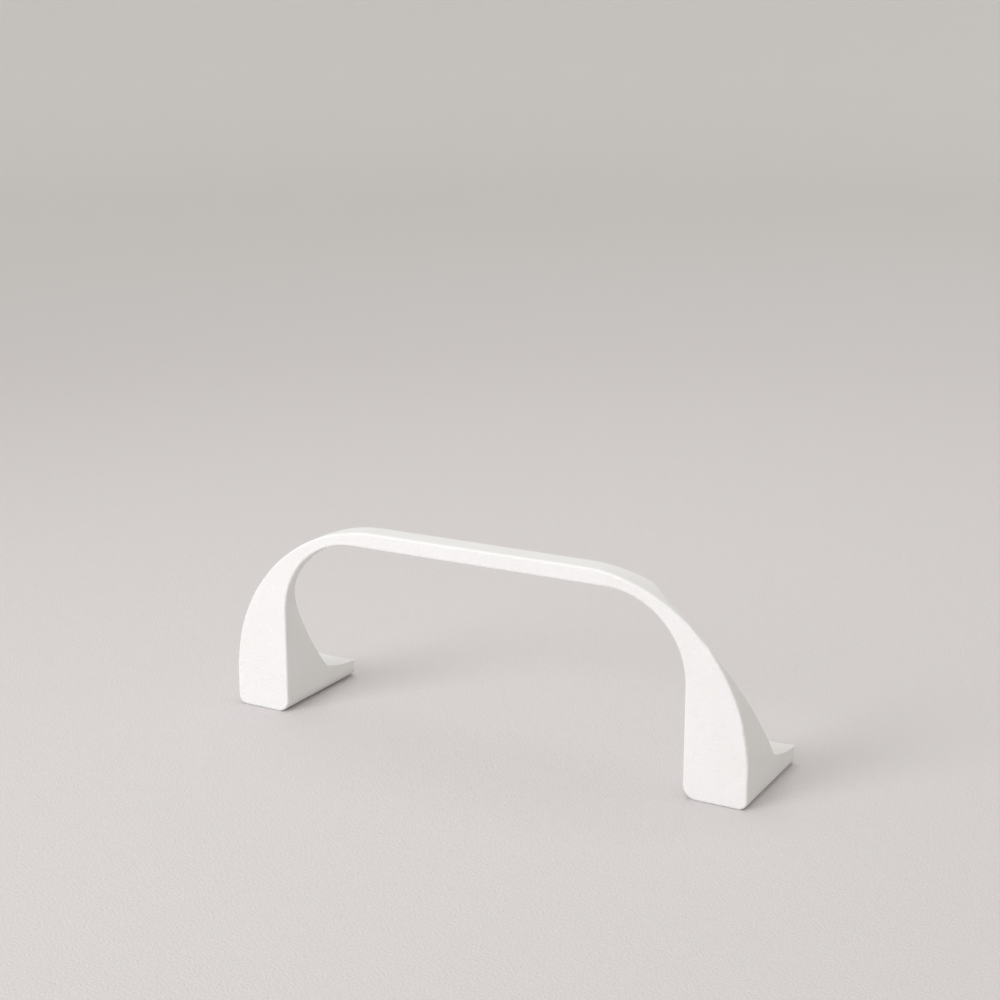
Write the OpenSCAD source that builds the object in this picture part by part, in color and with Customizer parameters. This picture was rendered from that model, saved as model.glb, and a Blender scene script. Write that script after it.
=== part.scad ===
// Desk stand: one printed arch with two legs, a thin bar and two feet.
// The front face is flat. Each leg is hollowed behind into a round cradle.
// +X runs to the right along the bar, +Y runs back and +Z up, in millimetres.
// The origin lies on the desk, under the middle of the stand.

/* [Arch] */
// Clear width between the two legs
arch_w = 100; // [84:1:124]
// Clear height under the bar
arch_h = 43.1; // [36:0.1:52]
// Radius of the two corners under the bar
corner_r = 18.5; // [13:0.5:24]
// Height of the bar, from its underside to its top
bar_t = 3.6; // [3:0.1:6]
// Depth of the bar, from front to back
bar_d = 5.8; // [4.5:0.1:8]

/* [Legs] */
// Width of each leg at the foot
leg_w = 14.3; // [12:0.1:20]
// Radius of the outer shoulder, from the top of the bar to the side of the leg
shoulder_r = 38.5; // [32:0.5:39]
// Rounding of the outer bottom corner of the leg
sole_out_r = 2; // [1.5:0.25:3]
// Rounding of the inner bottom corner of the leg
sole_in_r = 3; // [1.5:0.25:4]
// Rounding of the rim of the front face
rim_r = 0.5; // [0.3:0.1:1]
// Rounding of the edge behind and above the bar
back_r = 0.5; // [0.3:0.1:0.8]

/* [Feet] */
// Depth of each foot, from the front face to its heel
foot_d = 29.5; // [26:0.5:34]
// Height of the seat above the desk at the heel, where it is lowest
seat_z = 3.8; // [3:0.1:6]
// Radius of the shallow dish of the seat, which rises from the heel to the leg
dish_r = 40; // [32:1:80]
// Rounding of the bottom edge of the heel
heel_r = 1.5; // [0.8:0.1:2]
// Rounding of the edge that ends the seat
lip_r = 1.6; // [0.8:0.1:2]
// Rounding of the upright corners of the heel, seen from above
heel_corner_r = 2.5; // [1:0.25:5]

/* [Cradles] */
// Largest radius of the barrel-shaped hollow behind each leg
cradle_r = 26; // [23:0.5:32]
// Radius of the lengthways bulge of the hollow
cradle_bulge_r = 75; // [66:1:90]
// Distance along the hollow's centre line from the desk to its widest place
cradle_wide = 41.7; // [39:0.1:46]
// Forward lean of the hollow's centre line
cradle_lean = 16.5; // [13:0.1:19]
// Distance from the front face back to the hollow, level with its widest place
cradle_web = 0.55; // [0.3:0.05:2]
// How far the centre line lies outside the middle of the leg
cradle_out = 0.9; // [-1:0.1:3]

/* [Hidden] */
$fn = 128;

// overlap that keeps a cutting shape clear of the face that it cuts
eps = 0.5;
half_in = arch_w / 2;
half_out = half_in + leg_w;
top_z = arch_h + bar_t;
leg_x = half_in + leg_w / 2;
cradle_x = leg_x + cradle_out;
// the hollow's centre line meets the desk this far behind the front face
cradle_back = cradle_web + cradle_wide * sin(cradle_lean) + cradle_r * cos(cradle_lean);
// each leg is as thin as the bar from halfway up its shoulder
slim_z = top_z - shoulder_r / 2;
// how far the dish rises from the middle of the seat to its sides
dish_rise = dish_r - sqrt(pow(dish_r, 2) - pow(leg_w / 2, 2));
// the heel stands this far above the sides of the dish before the dish is cut
heel_spare = 0.1;
lip_z = seat_z + dish_rise + heel_spare;
// the bar's back edges run this far round the shoulder and round the corner under the bar,
// before the hollow takes them away
back_turn = 30;
neck_turn = 78;
white = [0.93, 0.93, 0.92];

// One copy on each side of the middle plane
module both_sides() {
    children();
    mirror([1, 0, 0]) children();
}

// What a round edge of radius r takes off a square corner at the origin
module corner_waste(r) {
    difference() {
        translate([-eps, -eps]) square(r + eps);
        translate([r, r]) circle(r);
    }
}

// Right half of the front view without the arch opening
module outer_half() {
    square([half_out, top_z - shoulder_r]);
    square([half_out - shoulder_r, top_z]);
    translate([half_out - shoulder_r, top_z - shoulder_r]) intersection() {
        circle(shoulder_r);
        square(shoulder_r);
    }
}

// Right half of the arch opening
module inner_half() {
    translate([0, -eps]) square([half_in, arch_h - corner_r + eps]);
    translate([0, -eps]) square([half_in - corner_r, arch_h + eps]);
    translate([half_in - corner_r, arch_h - corner_r]) intersection() {
        circle(corner_r);
        square(corner_r);
    }
}

// Front view of the stand, right half
module front_half() {
    difference() {
        outer_half();
        inner_half();
        translate([half_out, 0]) mirror([1, 0]) corner_waste(sole_out_r);
        translate([half_in, 0]) corner_waste(sole_in_r);
    }
}

// Stands a front view up and gives it depth, from y0 to y1 behind the front face
module stand_up(y0, y1) {
    translate([0, y1, 0]) rotate([90, 0, 0]) linear_extrude(y1 - y0) children();
}

// The arch: the whole front view, as deep as the bar
module arch_band() {
    stand_up(0, bar_d) both_sides() front_half();
}

// A foot seen from above, with round corners at the heel
module foot_plan() {
    difference() {
        translate([half_in, bar_d - eps]) square([leg_w, foot_d - bar_d + eps]);
        translate([half_in, foot_d]) mirror([0, 1]) corner_waste(heel_corner_r);
        translate([half_out, foot_d]) rotate(180) corner_waste(heel_corner_r);
    }
}

// A leg and its foot seen from the side, with y as x and z as y, before the hollow is cut
module leg_side() {
    difference() {
        polygon([[0, 0], [foot_d, 0], [foot_d, lip_z], [bar_d, slim_z], [0, slim_z]]);
        translate([foot_d, 0]) mirror([1, 0]) corner_waste(heel_r);
        translate([foot_d, lip_z]) rotate(180) corner_waste(lip_r);
    }
}

// The block behind a leg that the hollow is cut from
module leg_block() {
    intersection() {
        stand_up(bar_d - eps, foot_d) front_half();
        linear_extrude(slim_z) foot_plan();
        translate([half_in, 0, 0]) rotate([90, 0, 90]) linear_extrude(leg_w) leg_side();
    }
}

// The barrel-shaped hollow, ended below by the shallow dish of the seat
module cradle() {
    intersection() {
        translate([cradle_x, cradle_back, 0]) rotate([cradle_lean, 0, 0])
            translate([0, 0, cradle_wide]) rotate_extrude() intersection() {
                translate([cradle_r - cradle_bulge_r, 0]) circle(cradle_bulge_r);
                translate([0, -cradle_wide]) square([cradle_r, 2 * cradle_wide]);
            }
        translate([leg_x, foot_d, seat_z + dish_r]) sphere(dish_r);
    }
}

// The rim is drawn flat, with x to the right and y up as in the front view, the front face at
// z = 0 and the solid below it. This stands the drawing up.
module upright() {
    rotate([90, 0, 0]) children();
}

// What a round edge takes off a straight run of the rim that starts at [x, y], turned by
// angle a, with the solid on its left. The child is the profile of the waste.
module run_waste(x, y, a, length) {
    translate([x, y, 0]) rotate([0, 0, a]) rotate([90, 0, 90]) linear_extrude(length) children();
}

// The same along an arc about [x, y], from angle a over the given turn, which may run clockwise
module arc_waste(x, y, a, turn, radius) {
    translate([x, y, 0]) rotate([0, 0, a]) rotate_extrude(angle = turn)
        translate([radius, 0]) children();
}

// Profiles of the front rim's waste: as it is, and turned over to face the front
module edge_profile() {
    corner_waste(rim_r);
}
module front_profile() {
    mirror([0, 1]) edge_profile();
}

// What the round rim takes off the front edges, right half
module front_rim_waste() {
    side_z = top_z - shoulder_r;
    neck_z = arch_h - corner_r;
    upright() {
        run_waste(half_in + sole_in_r, 0, 0, leg_w - sole_in_r - sole_out_r) front_profile();
        arc_waste(half_out - sole_out_r, sole_out_r, -90, 90, sole_out_r) rotate(180) edge_profile();
        run_waste(half_out, sole_out_r, 90, side_z - sole_out_r) front_profile();
        arc_waste(half_out - shoulder_r, side_z, 0, 90, shoulder_r) rotate(180) edge_profile();
        run_waste(half_out - shoulder_r, top_z, 180, half_out - shoulder_r) front_profile();
        run_waste(0, arch_h, 0, half_in - corner_r) front_profile();
        arc_waste(half_in - corner_r, neck_z, 0, 90, corner_r) front_profile();
        run_waste(half_in, neck_z, -90, neck_z - sole_in_r) front_profile();
        arc_waste(half_in + sole_in_r, sole_in_r, 180, 90, sole_in_r) rotate(180) edge_profile();
    }
}

// What the round edge takes off the back of the bar, right half
module back_rim_waste() {
    upright() translate([0, 0, -bar_d]) {
        run_waste(half_out - shoulder_r, top_z, 180, half_out - shoulder_r) corner_waste(back_r);
        arc_waste(half_out - shoulder_r, top_z - shoulder_r, 90, -back_turn, shoulder_r)
            mirror([1, 0]) corner_waste(back_r);
        run_waste(0, arch_h, 0, half_in - corner_r) corner_waste(back_r);
        arc_waste(half_in - corner_r, arch_h - corner_r, 90, -neck_turn, corner_r)
            corner_waste(back_r);
    }
}

// The stand as one printed piece
module stand() {
    color(white) translate([0, -foot_d / 2, 0]) difference() {
        union() {
            arch_band();
            both_sides() leg_block();
        }
        both_sides() {
            cradle();
            front_rim_waste();
            back_rim_waste();
        }
    }
}

stand();
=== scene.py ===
"""A small white printed desk stand: an arch with a thin bar and two hollowed legs."""
import math

import bpy
from mathutils import Matrix, Vector

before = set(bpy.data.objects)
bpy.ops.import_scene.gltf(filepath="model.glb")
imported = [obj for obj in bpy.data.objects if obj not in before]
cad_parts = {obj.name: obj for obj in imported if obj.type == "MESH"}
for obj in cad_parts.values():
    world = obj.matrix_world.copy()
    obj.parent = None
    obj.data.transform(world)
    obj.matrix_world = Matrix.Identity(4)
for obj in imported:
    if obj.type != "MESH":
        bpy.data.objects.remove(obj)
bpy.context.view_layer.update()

MM = 0.001

# Camera: where it looks from and to, as angles about the stand
CAMERA_YAW = 29.16        # degrees to the right of straight ahead
CAMERA_PITCH = 14.44      # degrees above the horizon
CAMERA_ROLL = -0.07       # degrees
CAMERA_DISTANCE = 376.9 * MM
CAMERA_TARGET = Vector((6.8, -14.75, 58.6)) * MM
LENS = 64.3               # millimetres, on a sensor 36 mm wide

# Printing: the layers are stacked from the front face back
LAYER = 0.2 * MM
GRAIN = 0.5 * MM          # size of the front face's grain
STREAK = 0.7 * MM         # width of the faint streaks along the layers
CLOUD = 9 * MM            # size of the faint patches of tone

FLOOR_COLOUR = (0.71, 0.68, 0.68, 1)
BACKDROP_COLOUR = (0.9, 0.885, 0.875, 1)
PLASTIC_COLOUR = (0.875, 0.865, 0.866, 1)
SHADE_COLOUR = (0.825, 0.82, 0.79, 1)


def node(tree, kind, links=None, **values):
    """Adds a shader node, sets its fields and unlinked inputs, and links the others."""
    made = tree.nodes.new(kind)
    for name, value in values.items():
        if hasattr(made, name):
            setattr(made, name, value)
        else:
            made.inputs[name.replace("_", " ")].default_value = value
    for name, source in (links or {}).items():
        tree.links.new(source, made.inputs[name])
    return made


def math_node(tree, operation, first, second):
    """A Math node on a socket and a number or another socket."""
    made = tree.nodes.new("ShaderNodeMath")
    made.operation = operation
    for place, value in enumerate((first, second)):
        if isinstance(value, (int, float)):
            made.inputs[place].default_value = value
        else:
            tree.links.new(value, made.inputs[place])
    return made.outputs["Value"]


def ramp(tree, value, low, high, to_low, to_high):
    """Maps a socket from one range to another, held at its ends."""
    made = node(tree, "ShaderNodeMapRange", {"Value": value},
                From_Min=low, From_Max=high, To_Min=to_low, To_Max=to_high)
    return made.outputs["Result"]


def noise(tree, where, size, detail, roughness=0.5):
    """Noise in space, with features of the given size."""
    made = node(tree, "ShaderNodeTexNoise", {"Vector": where},
                Scale=1 / size, Detail=detail, Roughness=roughness)
    return made.outputs["Fac"]


def streaks(tree, depth, size, detail):
    """Noise that changes only with the depth behind the front face."""
    made = tree.nodes.new("ShaderNodeTexNoise")
    made.noise_dimensions = "1D"
    made.inputs["Scale"].default_value = 1 / size
    made.inputs["Detail"].default_value = detail
    tree.links.new(depth, made.inputs["W"])
    return made.outputs["Fac"]


def bump(tree, height, distance, strength, normal=None):
    """A Bump node over the normal that it is given."""
    made = node(tree, "ShaderNodeBump", {"Height": height}, Distance=distance)
    if isinstance(strength, (int, float)):
        made.inputs["Strength"].default_value = strength
    else:
        tree.links.new(strength, made.inputs["Strength"])
    if normal is not None:
        tree.links.new(normal, made.inputs["Normal"])
    return made.outputs["Normal"]


def new_material(name):
    """A material with a Principled shader, returned with its tree and shader."""
    material = bpy.data.materials.new(name)
    material.use_nodes = True
    return material, material.node_tree, material.node_tree.nodes["Principled BSDF"]


def printed_plastic():
    """White printed plastic: a grained front face, fine layers on every other side."""
    material, tree, shader = new_material("white_plastic")
    place = node(tree, "ShaderNodeTexCoord")
    where = place.outputs["Object"]
    depth = node(tree, "ShaderNodeSeparateXYZ", {"Vector": where}).outputs["Y"]
    facing = node(tree, "ShaderNodeSeparateXYZ", {"Vector": place.outputs["Normal"]}).outputs["Y"]
    front = ramp(tree, facing, -0.8, -0.97, 0, 1)
    side = math_node(tree, "SUBTRACT", 1.0, front)

    grain = noise(tree, where, GRAIN, 2.0, 0.6)
    speck = noise(tree, where, GRAIN / 3, 1.0)
    clouds = noise(tree, where, CLOUD, 2.0)
    bands = streaks(tree, depth, STREAK, 3.0)
    turns = math_node(tree, "MULTIPLY", depth, 2 * math.pi / LAYER)
    layers = math_node(tree, "SINE", turns, 0)
    # where the wall slopes back, the layers end in steps that stand out more
    step = ramp(tree, facing, 0.0, 0.9, 0.15, 0.8)

    # the streaks run wide there, so they fade
    streaked = math_node(tree, "MULTIPLY", side, ramp(tree, facing, 0.2, 0.9, 1.0, 0.2))

    tone = math_node(tree, "MULTIPLY", streaked, ramp(tree, bands, 0.35, 0.65, 0.0, 0.45))
    tone = math_node(tree, "ADD", tone, ramp(tree, clouds, 0.4, 0.7, 0.0, 0.35))
    tone = math_node(tree, "ADD", tone, math_node(tree, "MULTIPLY", front, ramp(tree, grain, 0.62, 0.4, 0.0, 0.3)))
    colour = node(tree, "ShaderNodeMix", data_type="RGBA")
    tree.links.new(tone, colour.inputs[0])
    colour.inputs[6].default_value = PLASTIC_COLOUR
    colour.inputs[7].default_value = SHADE_COLOUR
    tree.links.new(colour.outputs[2], shader.inputs["Base Color"])

    rough = math_node(tree, "ADD", ramp(tree, speck, 0.3, 0.7, 0.5, 0.6), math_node(tree, "MULTIPLY", front, 0.08))
    tree.links.new(rough, shader.inputs["Roughness"])

    normal = bump(tree, grain, 0.18 * MM, front)
    normal = bump(tree, bands, 0.02 * MM, streaked, normal)
    normal = bump(tree, layers, 0.012 * MM, math_node(tree, "MULTIPLY", side, step), normal)
    tree.links.new(normal, shader.inputs["Normal"])

    shader.inputs["Subsurface Weight"].default_value = 0.12
    shader.inputs["Subsurface Radius"].default_value = (1.0, 0.85, 0.7)
    shader.inputs["Subsurface Scale"].default_value = 1.2 * MM
    return material


def floor_material():
    """A pale desk top with a fine grain, which grows paler towards the backdrop."""
    material, tree, shader = new_material("desk")
    where = node(tree, "ShaderNodeTexCoord").outputs["Object"]
    grain = noise(tree, where, 0.6 * MM, 2.0, 0.6)
    away = node(tree, "ShaderNodeVectorMath", operation="LENGTH")
    tree.links.new(where, away.inputs[0])
    colour = node(tree, "ShaderNodeMix", data_type="RGBA")
    tree.links.new(ramp(tree, away.outputs["Value"], 0.5, 2.0, 0, 1), colour.inputs[0])
    colour.inputs[6].default_value = FLOOR_COLOUR
    colour.inputs[7].default_value = BACKDROP_COLOUR
    tree.links.new(colour.outputs[2], shader.inputs["Base Color"])
    shader.inputs["Roughness"].default_value = 0.7
    shader.inputs["Specular IOR Level"].default_value = 0.1
    tree.links.new(bump(tree, grain, 0.15 * MM, 1.0), shader.inputs["Normal"])
    return material


def add_object(name, mesh):
    made = bpy.data.objects.new(name, mesh)
    bpy.context.scene.collection.objects.link(made)
    return made


def add_floor():
    """A round floor that curves up into a low backdrop on every side."""
    flat, bend, rise = 1.6, 0.8, 1.3
    bend_steps, sides = 24, 96
    profile = [(0.3, 0.0), (flat, 0.0)]
    for i in range(1, bend_steps + 1):
        a = math.pi / 2 * i / bend_steps
        profile.append((flat + bend * math.sin(a), bend - bend * math.cos(a)))
    profile.append((flat + bend, rise))

    points = [(0.0, 0.0, 0.0)]
    for radius, height in profile:
        for k in range(sides):
            turn = 2 * math.pi * k / sides
            points.append((radius * math.cos(turn), radius * math.sin(turn), height))
    faces = [(0, 1 + k, 1 + (k + 1) % sides) for k in range(sides)]
    for i in range(len(profile) - 1):
        inner, outer = 1 + i * sides, 1 + (i + 1) * sides
        for k in range(sides):
            after = (k + 1) % sides
            faces.append((inner + k, outer + k, outer + after, inner + after))

    mesh = bpy.data.meshes.new("floor")
    mesh.from_pydata(points, [], faces)
    mesh.polygons.foreach_set("use_smooth", [True] * len(faces))
    floor = add_object("floor", mesh)
    floor.data.materials.append(floor_material())


def add_lamp(name, place, target, size, power, colour=(1, 1, 1), spread=180):
    """A square area lamp that faces a target, with its light spread over the given angle."""
    lamp = bpy.data.lights.new(name, "AREA")
    lamp.size = size
    lamp.spread = math.radians(spread)
    lamp.energy = power
    lamp.color = colour
    made = bpy.data.objects.new(name, lamp)
    made.location = place
    made.rotation_euler = (Vector(target) - Vector(place)).to_track_quat("-Z", "Y").to_euler()
    bpy.context.scene.collection.objects.link(made)


def add_lights():
    add_lamp("key", (-0.36, -0.8, 0.36), (-0.02, 0, 0.045), 0.5, 0.74, (0.95, 0.955, 1), 60)
    add_lamp("top", (-0.1, 0.2, 1.1), (0, 0, 0.02), 0.9, 2.5)
    world = bpy.data.worlds.new("studio")
    bpy.context.scene.world = world
    world.use_nodes = True
    world.node_tree.nodes["Background"].inputs["Color"].default_value = (1, 0.99, 0.95, 1)
    world.node_tree.nodes["Background"].inputs["Strength"].default_value = 0.655


def add_camera():
    data = bpy.data.cameras.new("camera")
    data.lens = LENS
    data.sensor_width = 36
    data.clip_start, data.clip_end = 0.01, 20
    camera = bpy.data.objects.new("camera", data)
    yaw, pitch, roll = (math.radians(v) for v in (CAMERA_YAW, CAMERA_PITCH, CAMERA_ROLL))
    back = Vector((math.sin(yaw) * math.cos(pitch), -math.cos(yaw) * math.cos(pitch), math.sin(pitch)))
    camera.location = CAMERA_TARGET + back * CAMERA_DISTANCE
    aim = (-back).to_track_quat("-Z", "Y").to_matrix() @ Matrix.Rotation(roll, 3, "Z")
    camera.rotation_euler = aim.to_euler()
    bpy.context.scene.collection.objects.link(camera)
    bpy.context.scene.camera = camera


def dress_stand():
    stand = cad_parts["stand"]
    material = printed_plastic()
    for held in stand.material_slots:
        held.material = material


add_camera()
add_floor()
add_lights()
dress_stand()
bpy.context.scene.view_settings.view_transform = "Standard"
